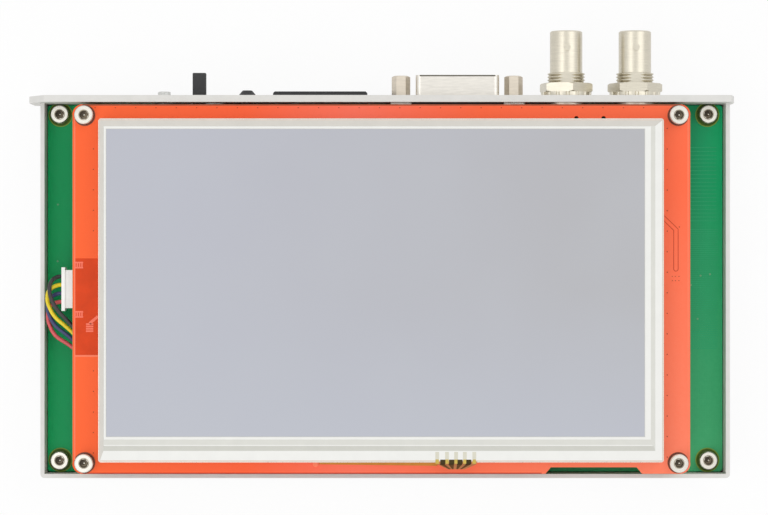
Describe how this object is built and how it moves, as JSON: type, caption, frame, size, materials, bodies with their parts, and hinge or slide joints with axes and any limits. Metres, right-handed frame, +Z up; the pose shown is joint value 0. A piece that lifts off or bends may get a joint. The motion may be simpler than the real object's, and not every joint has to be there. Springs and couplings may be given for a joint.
{
  "type": "vector network analyzer",
  "caption": "Open-tray bench network analyzer with a touch display over a main board, and bayonet coaxial and D-shaped connectors on a flat panel.",
  "frame": {"origin": "middle of the whole object's footprint, in the plane that its four rubber feet stand on", "axes": "+X runs to the right along the display for a user with the connector panel at the far side, +Y out of the connector panel, +Z up out of the display"},
  "size_m": [0.2086, 0.1322, 0.033],
  "materials": {
    "case_paint": "matt warm light grey powder coat",
    "board_green": "green solder mask on fibreglass board",
    "board_red": "red solder mask on fibreglass board",
    "steel": "bright stainless or tinned steel",
    "nickel": "satin nickel plate",
    "brass_plated": "nickel-flashed brass",
    "contact_gold": "thin gold flash",
    "tinned_wire": "tinned copper",
    "foot_rubber": "matt black rubber",
    "black_plastic": "matt black moulded plastic",
    "white_plastic": "natural white nylon",
    "ptfe": "white PTFE",
    "lens": "frosted clear lens",
    "display_cell": "grey display cell, switched off",
    "touch_glass": "clear touch glass",
    "flex_amber": "amber polyimide film",
    "tape": "white double-sided tape",
    "capacitor_can": "bare aluminium can",
    "ferrite": "dark sintered ferrite",
    "wire_black": "PVC wire cover",
    "wire_yellow": "PVC wire cover",
    "wire_blue": "PVC wire cover",
    "wire_red": "PVC wire cover"
  },
  "bodies": {
    "chassis": {"enclosure_tray": "case_paint", "front_panel": "case_paint", "main_board": "board_green", "display_board": "board_red", "panel_screws": "steel", "standoff_screws": "steel", "main_board_screws": "steel", "display_board_screws": "steel", "switch_frame": "steel", "card_cover": "steel", "shield_cans": "steel", "standoff_nuts": "steel", "crystal": "steel", "bnc_bodies": "nickel", "bnc_nuts": "nickel", "bnc_washers": "nickel", "dsub_shell": "nickel", "dsub_jackscrews": "nickel", "dsub_brackets": "nickel", "main_standoffs": "brass_plated", "display_standoffs": "brass_plated", "header_pins": "contact_gold", "dsub_contacts": "contact_gold", "bnc_contacts": "contact_gold", "bnc_leads": "tinned_wire", "rubber_feet": "foot_rubber", "header_socket": "black_plastic", "header_base": "black_plastic", "switch_base": "black_plastic", "button_housing": "black_plastic", "card_socket": "black_plastic", "dsub_insulator": "black_plastic", "processor": "black_plastic", "display_controller": "black_plastic", "signal_chips": "black_plastic", "wire_plug": "white_plastic", "wire_header": "white_plastic", "wire_socket": "white_plastic", "led_housing": "white_plastic", "flex_connector": "white_plastic", "display_frame": "white_plastic", "bnc_insulators": "ptfe", "led_lens": "lens", "display_glass": "display_cell", "display_backlight": "display_cell", "touch_panel": "touch_glass", "touch_flex": "flex_amber", "display_flex": "flex_amber", "mounting_tape": "tape", "capacitors": "capacitor_can", "inductors": "ferrite", "wire_black": "wire_black", "wire_yellow": "wire_yellow", "wire_blue": "wire_blue", "wire_red": "wire_red"},
    "switch_lever_body": {"switch_lever": "black_plastic"},
    "button_body": {"button_cap": "black_plastic"}
  },
  "joints": [
    {"name": "power_switch", "type": "slide", "parent": "chassis", "child": "switch_lever_body", "axis": [1, 0, 0], "range_m": [0, 0.004]},
    {"name": "push_button", "type": "slide", "parent": "chassis", "child": "button_body", "axis": [0, -1, 0], "range_m": [0, 0.0005], "stiffness_N_per_m": 800, "springref_m": -0.0005}
  ]
}
